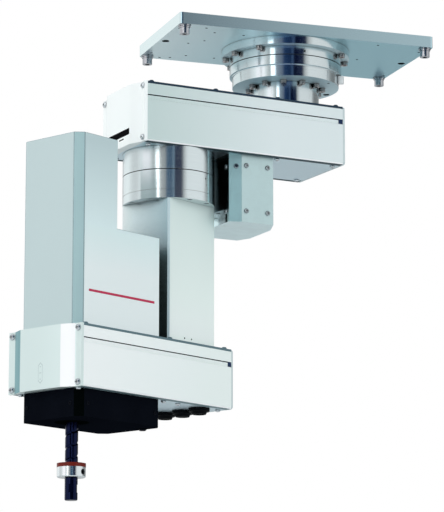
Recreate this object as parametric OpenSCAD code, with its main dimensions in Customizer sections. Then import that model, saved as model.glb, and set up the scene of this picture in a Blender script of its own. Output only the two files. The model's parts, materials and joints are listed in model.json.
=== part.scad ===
// Ceiling-mounted four-axis SCARA robot arm.
// Origin: axis of joint 1 in the plane of the base plate's mounting face.
// +X along the plate's long side, +Z up, millimetres.

/* [Pose] */
// Angle of the first arm from the plate's -X side
q1 = 8.45; // [0:0.05:20]
// Angle of the second arm from the first arm
q2 = 21.1; // [0:0.1:40]

/* [Base plate] */
// Length of the base plate
plate_l = 357; // [352:1:420]
// Width of the base plate
plate_w = 176; // [174:1:240]
// Thickness of the base plate
plate_t = 15.3; // [14.5:0.1:18]
// Length between the mounting screws
bolt_x = 339; // [330:1:340]
// Width between the mounting screws
bolt_y = 158; // [150:1:160]
// Radius of the mounting holes
bolt_hole_r = 4.5; // [4.2:0.1:5.5]
// Radius of the two hanging holes on the short sides
hang_hole_r = 5; // [3:0.5:6]

/* [Joint 1] */
// Radius of the fixed flange under the plate
j1_flange_r = 85.8; // [85.2:0.1:87]
// Radius of the joint's rings
j1_ring_r = 75.1; // [74:0.1:75.1]
// Radius of the lower step of the turning ring
j1_step_r = 71.4; // [66:0.1:73]
// Radius of the hub that carries the first arm
j1_hub_r = 44.6; // [40:0.1:44.8]
// Angles of the flange screws
j1_flange_angles = [167, 193, 224, 318, 347.5, 17, 46, 107, 137];
// Angles of the hub screws
j1_hub_angles = [6, 36, 66, 96, 126, 156, 186, 216, 246, 276, 306, 336];

/* [Arms] */
// Distance between joint 1 and joint 2
link1 = 175; // [174:0.1:176]
// Distance between joint 2 and the shaft
link2 = 175; // [172:0.1:177]
// Half width of the first arm
a_hw = 62.1; // [62:0.1:64]
// Half width of the second arm
b_hw = 62.1; // [62:0.1:64]
// Rounding of a side panel's lower edge
panel_r = 3; // [2:0.5:8]
// Depth of the slot in a side panel
slot_depth = 5; // [2:0.5:6]

/* [Joint 2] */
// Radius of the joint's rings
j2_ring_r = 59.8; // [59.5:0.1:61]
// Half length of the column, along the arm
col_hx = 45; // [38:0.1:45]
// Half width of the column, across the arm
col_hy = 41.5; // [36:0.1:41.5]
// Wall of the column
col_wall = 6; // [3:0.5:8]
// Width of the column's corner chamfer
col_ch = 2.3; // [1:0.1:5]

/* [Covers] */
// Thickness of the sheet-metal covers
sheet = 1.5; // [1:0.1:2]
// Half width of the tall cover over the shaft
k_hw = 51.3; // [46:0.1:52]
// Corner chamfer of the tall cover
k_ch = 9.7; // [4:0.1:12]
// Half width of the lower cover
e_hw = 51.5; // [48:0.1:52]

/* [Shaft] */
// Radius of the shaft
shaft_r = 8; // [8:0.01:8]
// Radius of the stopper collar
collar_r = 17.7; // [14:0.1:20]
// Radial clearance of the nuts on the shaft
nut_gap = 0.05; // [0.03:0.01:0.08]

/* [Hidden] */
$fn = 64;
e = 0.01;
// Heights, from the mounting face down
z_plate = -plate_t;
z_flange = -26.2;
z_gap1 = -37.7;
z_turn1 = -38.7;
z_step1 = -51.2;
z_ring1 = -66.2;
a_top = -98.5;
a_bot = -177.1;
z_gap2 = -207.7;
z_turn2 = -208.7;
z_line2 = -234.5;
z_col = -246;
b_top = -433.3;
b_bot = -510.5;
k_top = -192.4;
k_mid = -305.1;
e_bot = -545;
s_top = -253;
s_bot = -640.9;
c_top = -595.7;
c_mid = -600.5;
c_bot = -613;
m_bot = -267;
// Ends of the two arms, in each arm's own frame
a_x0 = -55.2;
a_x1 = 240.4;
b_x0 = -55.8;
b_x1 = 223.5;
cap_t = 4;
cap_out = 8.1;
// Motors inside the covers, in each arm's own frame
m1 = [72, 23];
m2 = [72, -30];
m3 = [108, 22];
m4 = [108, -22];
// Outline of the motor cover, in the first arm's frame
motor_plan = [[110.5, -50], [110.5, 46], [94.7, 51.6], [48, 51.6], [35, 20], [33.5, -39], [42.5, -59], [98, -60]];
// Screws in the undersides of the two arms, and the cable plugs of the second arm
a_low = [[-42, -45.5], [-44, 47], [41, 49], [20, -47], [228, -47], [228, 47]];
b_low = [[215, -49.5], [215, 49.5], [61, -48], [61, 48], [31, -45], [31, 45], [-47, -43.3], [-47, 44]];
plugs = [[-26, -28], [-24, 4], [-20, 36]];
// Outlines of the tall cover and the lower cover, in the second arm's frame
k_x0 = 73;
k_x1 = 150.6;
k_x2 = 219.3;
e_x0 = 65.5;
e_x1 = 215.8;
e_ch = 9;

// ---------- frames ----------
module arm1() rotate([0, 0, 180 + q1]) children();
module at_j2() arm1() translate([link1, 0, 0]) children();
module arm2() at_j2() rotate([0, 0, q2]) children();
module at_j4() arm2() translate([link2, 0, 0]) children();

// ---------- basic shapes ----------
module disc(r, z0, z1) translate([0, 0, min(z0, z1)]) cylinder(r = r, h = abs(z1 - z0));
module tube(ri, ro, z0, z1) difference() {
    disc(ro, z0, z1);
    translate([0, 0, min(z0, z1) - 1]) cylinder(r = ri, h = abs(z1 - z0) + 2);
}
module box(x0, x1, y0, y1, z0, z1) translate([x0, y0, z0]) cube([x1 - x0, y1 - y0, z1 - z0]);
module prism(pts, z0, z1) translate([0, 0, z0]) linear_extrude(z1 - z0) polygon(pts);
// A profile given as [y, z] points, run along x
module along_x(pts, x0, x1) translate([x0, 0, 0]) rotate([90, 0, 90]) linear_extrude(x1 - x0) polygon(pts);

// Corner points of a convex outline moved inwards by d
function edge_n(a, b) = let (v = b - a, l = norm(v)) [-v[1] / l, v[0] / l];
function meet(p, n1, n2, d) = let (den = n1[0] * n2[1] - n1[1] * n2[0],
    c1 = n1 * p + d, c2 = n2 * p + d) [(c1 * n2[1] - c2 * n1[1]) / den, (n1[0] * c2 - n2[0] * c1) / den];
function inset(pts, d) = [for (i = [0:len(pts) - 1]) let (p = pts[i], a = pts[(i + len(pts) - 1) % len(pts)],
    b = pts[(i + 1) % len(pts)]) meet(p, edge_n(a, p), edge_n(p, b), d)];
function rounded(x, y, r) = [[x, y - r], [x - r, y]];
// Outline of a rectangle with cut corners: c0 at low x, c1 at high x
function cut_rect(x0, x1, y, c0, c1) = [[x0 + c0, -y], [x1 - c1, -y], [x1, -y + c1], [x1, y - c1],
    [x1 - c1, y], [x0 + c0, y], [x0, y - c0], [x0, -y + c0]];

// Closed loop round two pulleys, as points
function loop_points(a, ra, b, rb) = let (d = norm(b - a), t = acos((ra - rb) / d), w = atan2(b[1] - a[1], b[0] - a[0]), n = 20) concat(
    [for (i = [0:n]) let (v = w - t + 2 * t * i / n) [b[0] + rb * cos(v), b[1] + rb * sin(v)]],
    [for (i = [0:n]) let (v = w + t + (360 - 2 * t) * i / n) [a[0] + ra * cos(v), a[1] + ra * sin(v)]]);
module belt(a, ra, b, rb, z0, z1) translate([0, 0, z0]) linear_extrude(z1 - z0) difference() {
    polygon(loop_points(a, ra + 2.2, b, rb + 2.2));
    polygon(loop_points(a, ra + 0.5, b, rb + 0.5));
}

// ---------- fasteners, head at z <= 0, shank upwards ----------
module cap_screw(r, head_r, head_h, len) {
    difference() {
        translate([0, 0, -head_h]) union() {
            cylinder(r = head_r, h = head_h);
        }
        translate([0, 0, -head_h - 1]) cylinder(r = head_r * 0.5, h = head_h * 0.5 + 1, $fn = 6);
    }
    translate([0, 0, -0.2]) cylinder(r = r, h = len + 0.2);
}
module pan_screw(r, head_r, head_h, len) {
    difference() {
        union() {
            translate([0, 0, -head_h * 0.5]) cylinder(r = head_r, h = head_h * 0.5);
            translate([0, 0, -head_h]) cylinder(r1 = head_r * 0.72, r2 = head_r, h = head_h * 0.5);
        }
        translate([-head_r * 0.55, -head_r * 0.11, -head_h - 1]) cube([head_r * 1.1, head_r * 0.22, 1 + head_h * 0.55]);
        translate([-head_r * 0.11, -head_r * 0.55, -head_h - 1]) cube([head_r * 0.22, head_r * 1.1, 1 + head_h * 0.55]);
    }
    translate([0, 0, -0.2]) cylinder(r = r, h = len + 0.2);
}
// Flush countersunk screw
module flat_screw(r, head_r, len) difference() {
    union() {
        cylinder(r1 = head_r, r2 = r, h = head_r - r);
        cylinder(r = r, h = len);
    }
    translate([0, 0, -1]) cylinder(r = head_r * 0.4, h = 2, $fn = 6);
}
// Turn a screw so that its head looks along a direction in the plane
module facing(a) rotate([0, 0, a]) rotate([0, -90, 0]) children();

// ---------- parts of the arms' boxes ----------
function panel_points(hw, t, b, r, g) = concat(
    [[52.2, b], [hw - r, b]],
    [for (i = [1:8]) let (w = -90 + 90 * i / 9) [hw - r + r * cos(w), b + r + r * sin(w)]],
    [[hw, b + r], [hw, g - 6.5], [hw - 0.6, g - 5.7], [hw - 0.6, g - 0.6], [hw - slot_depth, g - 0.6],
        [hw - slot_depth, g + 0.6], [hw, g + 0.6], [hw, t - 3], [52.2, t - 3], [52.2, t - 12.6], [hw - 7.4, t - 15.4],
        [hw - 7.4, b + 17], [50, b + 12], [42, b + 12], [42, b + 4.2], [52.2, b + 4.2]]);
module side_panel(hw, t, b, g, x0, x1) along_x(panel_points(hw, t, b, panel_r, g), x0, x1);
module top_plate(hw, t, x0, x1) along_x([[-hw, t], [-hw, t - 3], [-52, t - 3], [-52, t - 12], [52, t - 12], [52, t - 3],
    [hw, t - 3], [hw, t]], x0, x1);
module bottom_plate(b, x0, x1) difference() {
    along_x([[-52, b], [52, b], [52, b + 4], [41.8, b + 4], [41.8, b + 12], [-41.8, b + 12], [-41.8, b + 4], [-52, b + 4]], x0, x1);
    prism([[x0 - 1, -41], [x0 - 1, -60], [x0 + 13, -60], [x0 + 13, -52.01], [x0 - 0.01, -43]], b - 1, b + 20);
}
module outer_cap(hw, x1, t, b, f) difference() {
    prism([[x1 - cap_t, -hw], [x1, -hw], [x1, -f], [x1 + cap_out, -34.5], [x1 + cap_out, 34.5], [x1, f], [x1, hw],
        [x1 - cap_t, hw]], b, t);
    prism([[x1 - cap_t - 1, -f + 3], [x1 - 1, -f + 3], [x1 + cap_out - 3, -33], [x1 + cap_out - 3, 33], [x1 - 1, f - 3],
        [x1 - cap_t - 1, f - 3]], b + 3, t - 3);
    for (y = [-56.5, 56.5], z = [t - 5.6, b + 5.3]) translate([x1 + 1, y, z]) facing(0) cylinder(r = 2.1, h = 20);
}
module inner_cap(hw, x0, t, b) difference() {
    translate([x0, 0, 0]) rotate([90, 0, 90]) linear_extrude(3) union() {
        translate([-hw, b + 4]) square([2 * hw, t - b - 8]);
        translate([-hw + 4, b]) square([2 * hw - 8, t - b]);
        for (y = [-hw + 4, hw - 4], z = [b + 4, t - 4]) translate([y, z]) circle(r = 4);
    }
    for (y = [-56.5, 56.5], z = [t - 8, b + 12]) translate([x0, y, z]) rotate([0, 90, 0]) {
        translate([0, 0, -e]) cylinder(r1 = 3.7, r2 = 1.9, h = 1.8);
        cylinder(r = 1.9, h = 5);
    }
}

// ---------- base ----------
module base_plate() color([0.66, 0.72, 0.74]) difference() {
    translate([0, 0, z_plate]) linear_extrude(plate_t) union() {
        square([plate_l - 8, plate_w], center = true);
        square([plate_l, plate_w - 8], center = true);
        for (x = [-1, 1], y = [-1, 1]) translate([x * (plate_l / 2 - 4), y * (plate_w / 2 - 4)]) circle(r = 4);
    }
    for (x = [-1, 1], y = [-1, 1]) translate([x * bolt_x / 2, y * bolt_y / 2, z_plate - 1]) cylinder(r = bolt_hole_r, h = plate_t + 2);
    for (x = [-1, 1]) translate([x * bolt_x / 2, 0, z_plate - 1]) cylinder(r = hang_hole_r, h = plate_t + 2);
    for (p = [[-138.5, 75.7], [-138.5, -75.7], [-121.3, 58.8], [-121.3, -58.8], [-138, 0], [-121.4, -18], [-152, 79.8], [-81, 59], [-81, -59],
        [104, -74.5], [104.5, 1], [-171.6, -64], [-169.3, 61], [171.4, 66.6], [169.2, -60]])
        translate([p[0], p[1], z_plate - 1]) cylinder(r = 1.7, h = 11);
    for (a = j1_flange_angles) rotate([0, 0, a]) translate([80.6, 0, z_plate - 1]) cylinder(r = 2.6, h = 10);
}
module mounting_screws() color([0.5, 0.47, 0.44]) for (x = [-1, 1], y = [-1, 1])
    translate([x * bolt_x / 2, y * bolt_y / 2, 0]) {
        translate([0, 0, z_plate - 3.8]) cap_screw(4, 6.5, 8, plate_t + 3.4);
        tube(4.1, 8.4, z_plate - 1.6, z_plate);
        tube(4.1, 7.2, z_plate - 3.7, z_plate - 1.7);
    }
module j1_housing() color([0.8, 0.83, 0.84]) difference() {
    union() {
        disc(j1_flange_r, z_flange, z_plate);
        disc(j1_ring_r, z_gap1, z_flange + e);
    }
    disc(63, z_gap1 - 1, -19.4);
    for (a = j1_flange_angles) rotate([0, 0, a]) translate([80.6, 0, z_flange - 1]) cylinder(r = 2.7, h = 20);
    rotate([0, 0, 269]) translate([j1_ring_r - 6, 0, -33]) rotate([0, 90, 0]) cylinder(r = 1.4, h = 10);
}
module j1_flange_screws() color([0.42, 0.36, 0.33]) for (a = j1_flange_angles)
    rotate([0, 0, a]) translate([80.6, 0, z_flange]) cap_screw(2.5, 4.25, 5, 18);
module j1_seal() color([0.05, 0.06, 0.08]) tube(66, 74.2, z_gap1 - 0.6, z_gap1);
module j1_circular_spline() color([0.55, 0.56, 0.58]) tube(50, 62.8, -30, -19.6);

// ---------- first arm ----------
module j1_output_ring() color([0.8, 0.83, 0.84]) arm1() difference() {
    union() {
        disc(j1_ring_r, z_step1, z_turn1);
        translate([0, 0, z_step1 - 1]) cylinder(r1 = j1_step_r, r2 = j1_step_r + 1, h = 1 + e);
        disc(j1_step_r, z_ring1, z_step1 - 0.9);
        disc(55, z_turn1 - e, -30.8);
    }
    disc(16, z_ring1 - 1, -30);
    for (a = j1_hub_angles) rotate([0, 0, a - 180 - q1]) translate([49.2, 0, z_ring1 - 1]) cylinder(r = 2.6, h = 17);
    translate([-36.2, 52, z_ring1 - 1]) cylinder(r = 1.8, h = 9);
    translate([-63.6, -0.8, z_ring1 - 1]) cylinder(r = 4.5, h = 12);
}
module j1_hub() color([0.78, 0.81, 0.83]) arm1() tube(30, j1_hub_r, a_top, z_ring1);
module j1_hub_screws() color([0.42, 0.36, 0.33]) for (a = j1_hub_angles)
    rotate([0, 0, a]) translate([49.2, 0, z_ring1]) cap_screw(2.5, 4.25, 5, 15);
module j1_flexspline() color([0.6, 0.61, 0.63]) arm1() tube(45.6, 49.6, -30.8, -20.2);
module j1_index_block() color([0.93, 0.94, 0.94]) rotate([0, 0, -30]) difference() {
    box(71.5, 78.6, -4, 4, -62.5, -52.4);
    translate([71, 0, -59]) rotate([0, 90, 0]) cylinder(r = 1.6, h = 10);
}
module arm1_top_plate() color([0.35, 0.42, 0.5]) arm1() difference() {
    top_plate(a_hw, a_top, a_x0 + 3, a_x1 - cap_t);
    translate([0, 0, a_top - 20]) cylinder(r = 30, h = 30);
    for (x = [-44, 44, 136, 229], y = [-57.3, 57.3]) translate([x, y, a_top - 20]) cylinder(r = 1.7, h = 30);
}
module arm1_bottom_plate() color([0.66, 0.73, 0.75]) arm1() difference() {
    bottom_plate(a_bot, a_x0 + 3, a_x1 - cap_t);
    translate([link1, 0, a_bot - 1]) cylinder(r = 16, h = 20);
    for (m = [m1, m2]) translate([m[0], m[1], a_bot - 1]) cylinder(r = 9, h = 20);
    for (p = a_low) translate([p[0], p[1], a_bot - 1]) cylinder(r = 1.7, h = 20);
}
module arm1_near_panel() color([0.8, 0.86, 0.87]) arm1() difference() {
    side_panel(a_hw, a_top, a_bot, -116.6, a_x0 + 3, a_x1 - cap_t);
    arm1_panel_holes();
}
module arm1_far_panel() color([0.8, 0.86, 0.87]) arm1() difference() {
    mirror([0, 1, 0]) side_panel(a_hw, a_top, a_bot, -116.6, a_x0 + 3, a_x1 - cap_t);
    arm1_panel_holes();
}
module arm1_panel_holes() {
    for (x = [-44, 44, 136, 229], y = [-57.3, 57.3]) translate([x, y, a_top - 11]) cylinder(r = 1.7, h = 12);
    for (p = a_low) translate([p[0], p[1], a_bot - 1]) cylinder(r = 1.7, h = 11);
    for (y = [-56.5, 56.5], z = [a_top - 5.6, a_bot + 5.3]) translate([a_x1, y, z]) facing(0) cylinder(r = 2.1, h = 7.5);
    for (y = [-56.5, 56.5], z = [a_top - 8, a_bot + 12]) translate([a_x0, y, z]) rotate([0, 90, 0]) cylinder(r = 1.9, h = 7);
}
module arm1_outer_cap() color([0.92, 0.96, 0.96]) arm1() outer_cap(a_hw, a_x1, a_top, a_bot, 51.5);
module arm1_inner_cap() color([0.88, 0.92, 0.92]) arm1() inner_cap(a_hw, a_x0, a_top, a_bot);
module arm1_screws() color([0.35, 0.38, 0.48]) arm1() {
    for (y = [-56.5, 56.5], z = [a_top - 5.6, a_bot + 5.3]) translate([a_x1, y, z]) facing(0) pan_screw(2, 3.9, 2.6, 7);
    for (y = [-56.5, 56.5], z = [a_top - 8, a_bot + 12]) translate([a_x0, y, z]) rotate([0, 90, 0]) flat_screw(1.8, 3.5, 6.5);
    for (x = [-44, 44, 136, 229], y = [-57.3, 57.3]) translate([x, y, a_top]) rotate([180, 0, 0]) pan_screw(1.6, 3.4, 2.4, 9);
    for (p = a_low) translate([p[0], p[1], a_bot]) pan_screw(1.6, 3.4, 2.4, 9);
}
module arm1_slot_plugs() color([0.06, 0.06, 0.08]) arm1() for (s = [0, 1]) mirror([0, s, 0]) slot_plug(a_x0, a_hw, -116.6);
// Blanking plug at the end of a side panel's slot
module slot_plug(x0, hw, g) {
    box(x0 + 3.2, x0 + 9.4, hw - slot_depth + 0.1, hw - 0.2, g - 0.5, g + 0.5);
    box(x0 + 3.2, x0 + 9.4, hw - 0.58, hw - 0.1, g - 5.6, g + 0.5);
}
module motor_cover() color([0.68, 0.78, 0.8]) arm1() difference() {
    prism(motor_plan, m_bot, a_bot);
    prism(inset(motor_plan, sheet), m_bot + sheet, a_bot + 1);
    motor_cover_holes();
}
module motor_cover_holes() {
    for (x = [56.3, 87.8], z = [-191.6, -252]) translate([x, 52.6, z]) rotate([90, 0, 0]) cylinder(r = 1.7, h = 4);
    translate([101.5, 49.19, -193.3]) facing(70.48) translate([0, 0, -1]) cylinder(r = 1.7, h = 4);
    for (y = [-42, 38.6], z = [-193.5, -253]) translate([111.5, y, z]) facing(0) cylinder(r = 1.7, h = 4);
}
module motor_cover_screws() color([0.75, 0.78, 0.8]) arm1() {
    for (x = [56.3, 87.8], z = [-191.6, -252]) translate([x, 51.6, z]) rotate([90, 0, 0]) pan_screw(1.5, 3.2, 2, 3);
    translate([101.5, 49.19, -193.3]) facing(70.48) pan_screw(1.5, 3.2, 2, 3);
    for (y = [-42, 38.6], z = [-193.5, -253]) translate([110.5, y, z]) facing(0) pan_screw(1.5, 3.2, 2, 3);
}
module servo(c, hw, z0, z1, zs) translate([c[0], c[1], 0]) {
    prism(cut_rect(-hw, hw, hw, 4, 4), z0 + 22, z1);
    prism(cut_rect(-hw + 2, hw - 2, hw - 2, 3, 3), z0, z0 + 21.9);
    disc(3.9, z1 - e, zs);
}
module j1_motor() color([0.16, 0.17, 0.19]) arm1() servo(m1, 23.5, -262, a_bot - 0.2, -131);
module j2_motor() color([0.16, 0.17, 0.19]) arm1() servo(m2, 23.5, -262, a_bot - 0.2, -146);
module j1_belt() color([0.08, 0.08, 0.09]) arm1() belt(m1, 10, [0, 0], 28, -127, -116);
module j2_belt() color([0.08, 0.08, 0.09]) arm1() belt(m2, 10, [link1, 0], 28, -159, -148);
module j2_housing() color([0.8, 0.83, 0.84]) at_j2() difference() {
    disc(j2_ring_r, z_gap2, a_bot);
    disc(48, z_gap2 - 1, a_bot - 4.2);
    disc(16, z_gap2 - 1, a_bot + 1);
}
module j2_seal() color([0.05, 0.06, 0.08]) at_j2() tube(50, 58.8, z_gap2 - 0.6, z_gap2);
module j2_circular_spline() color([0.55, 0.56, 0.58]) at_j2() tube(37, 47.8, -196, -183.7);

// ---------- reducer inputs and motor pulleys of joints 1 and 2 ----------
module pulley(r, z0, z1, bore) difference() {
    union() {
        disc(r, z0, z1);
        disc(r + 2.6, z0 - 1.5, z0 - 0.4);
        disc(r + 2.6, z1 + 0.4, z1 + 1.5);
        disc(r - 0.5, z0 - 1.5, z1 + 1.5);
    }
    disc(bore, z0 - 3, z1 + 3);
}
module j1_wave_generator() color([0.62, 0.64, 0.66]) arm1() {
    disc(45.1, -29.6, -20.6);
    disc(12, -29.6 + e, -116);
    pulley(28, -127.4, -115.6, 2);
}
module j1_motor_pulley() color([0.7, 0.72, 0.74]) arm1() translate([m1[0], m1[1], 0]) pulley(10, -127.4, -115.6, 3.95);
module j2_wave_generator() color([0.62, 0.64, 0.66]) at_j2() {
    disc(32.8, -198, -186);
    disc(10, -186 - e, -159);
    pulley(28, -159.4, -147.6, 2);
}
module j2_motor_pulley() color([0.7, 0.72, 0.74]) arm1() translate([m2[0], m2[1], 0]) pulley(10, -159.4, -147.6, 3.95);

// ---------- second arm ----------
module j2_output_ring() color([0.8, 0.83, 0.84]) arm2() difference() {
    union() {
        disc(j2_ring_r, z_line2, z_turn2);
        disc(40, z_turn2 - e, -200);
    }
    disc(14, z_line2 - 1, -199);
    rotate([0, 0, 95]) translate([j2_ring_r - 5, 0, -216]) rotate([0, 90, 0]) cylinder(r = 1.2, h = 10);
}
module j2_column_flange() color([0.78, 0.81, 0.83]) arm2() difference() {
    disc(j2_ring_r, z_col, z_line2 - 0.2);
    disc(30, z_col - 1, z_line2 + 1);
    for (k = [0:90:270], s = [-17.5, 17.5]) rotate([0, 0, k + s]) translate([54, 0, z_col - 1]) cylinder(r = 3.3, h = 8);
}
module j2_flexspline() color([0.6, 0.61, 0.63]) arm2() tube(33.3, 36.6, -200, -187);
module column() color([0.84, 0.89, 0.89]) arm2() difference() {
    prism(cut_rect(-col_hx, col_hx, col_hy, col_ch, col_ch), b_top, z_col);
    prism(cut_rect(-col_hx + col_wall, col_hx - col_wall, col_hy - col_wall, col_ch, col_ch), b_top - 1, z_col + 1);
    for (x = [1, 14.2]) translate([x, col_hy + 1, -424.6]) rotate([90, 0, 0]) cylinder(r = 1.1, h = 5);
}
module arm2_top_plate() color([0.45, 0.52, 0.58]) arm2() difference() {
    top_plate(b_hw, b_top, b_x0 + 3, b_x1 - cap_t);
    disc(24, b_top - 20, b_top + 1);
    translate([link2, 0, b_top - 20]) cylinder(r = 12, h = 30);
    for (m = [m3, m4]) translate([m[0], m[1], b_top - 20]) cylinder(r = 8, h = 30);
    for (x = [-44, 60, 212], y = [-57.3, 57.3]) translate([x, y, b_top - 20]) cylinder(r = 1.7, h = 30);
}
module arm2_bottom_plate() color([0.66, 0.73, 0.75]) arm2() difference() {
    bottom_plate(b_bot, b_x0 + 3, b_x1 - cap_t);
    translate([link2, 0, b_bot - 1]) cylinder(r = 19, h = 20);
    for (p = plugs) translate([p[0], p[1], b_bot - 1]) cylinder(r = 10.2, h = 20);
    for (p = b_low) translate([p[0], p[1], b_bot - 1]) cylinder(r = 1.7, h = 20);
}
module arm2_near_panel() color([0.88, 0.93, 0.93]) arm2() difference() {
    side_panel(b_hw, b_top, b_bot, -450.5, b_x0 + 3, b_x1 - cap_t);
    arm2_panel_holes();
}
module arm2_far_panel() color([0.88, 0.93, 0.93]) arm2() difference() {
    mirror([0, 1, 0]) side_panel(b_hw, b_top, b_bot, -450.5, b_x0 + 3, b_x1 - cap_t);
    arm2_panel_holes();
}
module arm2_panel_holes() {
    for (x = [-44, 60, 212], y = [-57.3, 57.3]) translate([x, y, b_top - 11]) cylinder(r = 1.7, h = 12);
    for (p = b_low) translate([p[0], p[1], b_bot - 1]) cylinder(r = 1.7, h = 11);
    for (y = [-56.5, 56.5], z = [b_top - 5.6, b_bot + 5.3]) translate([b_x1, y, z]) facing(0) cylinder(r = 2.1, h = 7.5);
    for (y = [-56.5, 56.5], z = [b_top - 8, b_bot + 12]) translate([b_x0, y, z]) rotate([0, 90, 0]) cylinder(r = 1.9, h = 7);
}
module arm2_outer_cap() color([0.86, 0.93, 0.92]) arm2() outer_cap(b_hw, b_x1, b_top, b_bot, 51.5);
module arm2_inner_cap() color([0.88, 0.92, 0.92]) arm2() inner_cap(b_hw, b_x0, b_top, b_bot);
module arm2_screws() color([0.35, 0.38, 0.48]) arm2() {
    for (y = [-56.5, 56.5], z = [b_top - 5.6, b_bot + 5.3]) translate([b_x1, y, z]) facing(0) pan_screw(2, 3.9, 2.6, 7);
    for (y = [-56.5, 56.5], z = [b_top - 8, b_bot + 12]) translate([b_x0, y, z]) rotate([0, 90, 0]) flat_screw(1.8, 3.5, 6.5);
    for (x = [-44, 60, 212], y = [-57.3, 57.3]) translate([x, y, b_top]) rotate([180, 0, 0]) pan_screw(1.6, 3.4, 2.4, 9);
    for (p = b_low) translate([p[0], p[1], b_bot]) pan_screw(1.6, 3.4, 2.4, 9);
}
module arm2_slot_plugs() color([0.06, 0.06, 0.08]) arm2() for (s = [0, 1]) mirror([0, s, 0]) slot_plug(b_x0, b_hw, -450.5);
// The tall cover stands on the second arm: a low part over the motors and a high part over the shaft
module z_cover_body(d) {
    prism(inset(k_plan(k_x0), d), b_top - (d > 0 ? 1 : 0), k_mid - d);
    prism(inset(k_plan(k_x1), d), b_top - (d > 0 ? 1 : 0), k_top - d);
}
function k_plan(x0) = [[x0, -k_hw], [k_x2 - k_ch, -k_hw], [k_x2, -k_hw + k_ch], [k_x2, k_hw - k_ch], [k_x2 - k_ch, k_hw], [x0, k_hw]];
module z_axis_cover() color([0.76, 0.83, 0.85]) arm2() difference() {
    z_cover_body(0);
    z_cover_body(sheet);
}
module lower_cover() color([0.05, 0.06, 0.08]) arm2() difference() {
    prism(cut_rect(e_x0, e_x1, e_hw, e_ch, e_ch), e_bot, b_bot);
    prism(inset(cut_rect(e_x0, e_x1, e_hw, e_ch, e_ch), 2.5), e_bot + 2.5, b_bot + 1);
    translate([link2, 0, e_bot - 1]) cylinder(r = 11, h = 10);
    for (x = [81, 201], s = [-1, 1]) translate([x, s * (e_hw + 1), -528.4]) rotate([s * 90, 0, 0]) cylinder(r = 1.6, h = 5);
    for (y = [-37, 37]) translate([e_x1 + 1, y, -528.4]) facing(0) cylinder(r = 1.6, h = 5);
    translate([73.8, 24.6, e_bot - 1]) cylinder(r = 1.6, h = 5);
}
module lower_cover_screws() color([0.1, 0.1, 0.12]) arm2() {
    for (x = [81, 201], s = [-1, 1]) translate([x, s * e_hw, -528.4]) rotate([s * 90, 0, 0]) pan_screw(1.5, 2.7, 1.2, 5);
    for (y = [-37, 37]) translate([e_x1, y, -528.4]) facing(0) pan_screw(1.5, 2.7, 1.2, 5);
    translate([73.8, 24.6, e_bot]) pan_screw(1.5, 5.2, 2.6, 5);
}
module cable_plugs() color([0.05, 0.05, 0.06]) arm2() for (p = plugs) translate([p[0], p[1], b_bot]) difference() {
    union() {
        disc(10, -1, 3.9);
        disc(13.5, -4, 0);
        translate([0, 0, -4.6]) cylinder(r1 = 12.8, r2 = 13.5, h = 0.6 + e);
        translate([0, 0, -8]) cylinder(r1 = 8.8, r2 = 10.4, h = 3.4 + e);
    }
    translate([0, 0, -9]) cylinder(r = 6.4, h = 2);
}
module j3_motor() color([0.16, 0.17, 0.19]) arm2() rotate([0, 0, 0]) servo_up(m3, 19, b_top + 0.1, -345, -473);
module j4_motor() color([0.16, 0.17, 0.19]) arm2() servo_up(m4, 19, b_top + 0.1, -345, -495.5);
// Motor standing on a plate with its shaft pointing down
module servo_up(c, hw, z0, z1, zs) translate([c[0], c[1], 0]) {
    prism(cut_rect(-hw, hw, hw, 3, 3), z0, z1 - 20);
    prism(cut_rect(-hw + 1.5, hw - 1.5, hw - 1.5, 3, 3), z1 - 19.9, z1);
    disc(2.9, zs, z0 + e);
}
module j3_belt() color([0.08, 0.08, 0.09]) arm2() belt(m3, 10, [link2, 0], 22, -469, -459);
module j4_belt() color([0.08, 0.08, 0.09]) arm2() belt(m4, 10, [link2, 0], 22, -494, -484);
module j3_motor_pulley() color([0.7, 0.72, 0.74]) arm2() translate([m3[0], m3[1], 0]) pulley(10, -469.4, -458.6, 2.95);
module j4_motor_pulley() color([0.7, 0.72, 0.74]) arm2() translate([m4[0], m4[1], 0]) pulley(10, -494.4, -483.6, 2.95);

// ---------- shaft, its nuts and its stopper ----------
module ball_nut() color([0.72, 0.73, 0.75]) at_j4() difference() {
    union() {
        disc(17, -474, -449);
        pulley(22, -469.4, -458.6, 8);
    }
    disc(shaft_r + nut_gap, -480, -440);
}
module spline_nut() color([0.72, 0.73, 0.75]) at_j4() difference() {
    union() {
        disc(15, -539.5, -480);
        disc(18, -542.2, -536.7);
        pulley(22, -494.4, -483.6, 8);
    }
    disc(shaft_r + nut_gap, -560, -470);
}
module z_shaft() color([0.12, 0.14, 0.24]) at_j4() difference() {
    union() {
        disc(shaft_r, s_bot + 1, s_top - 1);
        translate([0, 0, s_bot]) cylinder(r1 = shaft_r - 0.8, r2 = shaft_r, h = 1 + e);
        translate([0, 0, s_top - 1 - e]) cylinder(r1 = shaft_r, r2 = shaft_r - 0.8, h = 1 + e);
    }
    // Runout groove under the collar
    tube(shaft_r - 0.4, shaft_r + 2, c_bot - 0.6, c_bot - 0.1);
    // Flat for a tool's clamping screw
    rotate([0, 0, -49]) box(-shaft_r - 1, -shaft_r + 0.8, -10, 10, -631.5, -621.5);
}
module stopper_collar() color([0.86, 0.89, 0.9]) at_j4() difference() {
    union() {
        disc(collar_r, c_bot + 1, c_mid);
        translate([0, 0, c_bot]) cylinder(r1 = collar_r - 1, r2 = collar_r, h = 1 + e);
    }
    disc(shaft_r, c_bot - 1, c_mid + 1);
    collar_screw_place() translate([0, 0, -3]) {
        cylinder(r = 3.6, h = 10);
        translate([0, 0, -9]) cylinder(r = 2.1, h = 12);
    }
}
module collar_screw_place() rotate([0, 0, 98]) translate([collar_r - 1, 0, -606.7]) rotate([0, 90, 0]) children();
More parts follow.
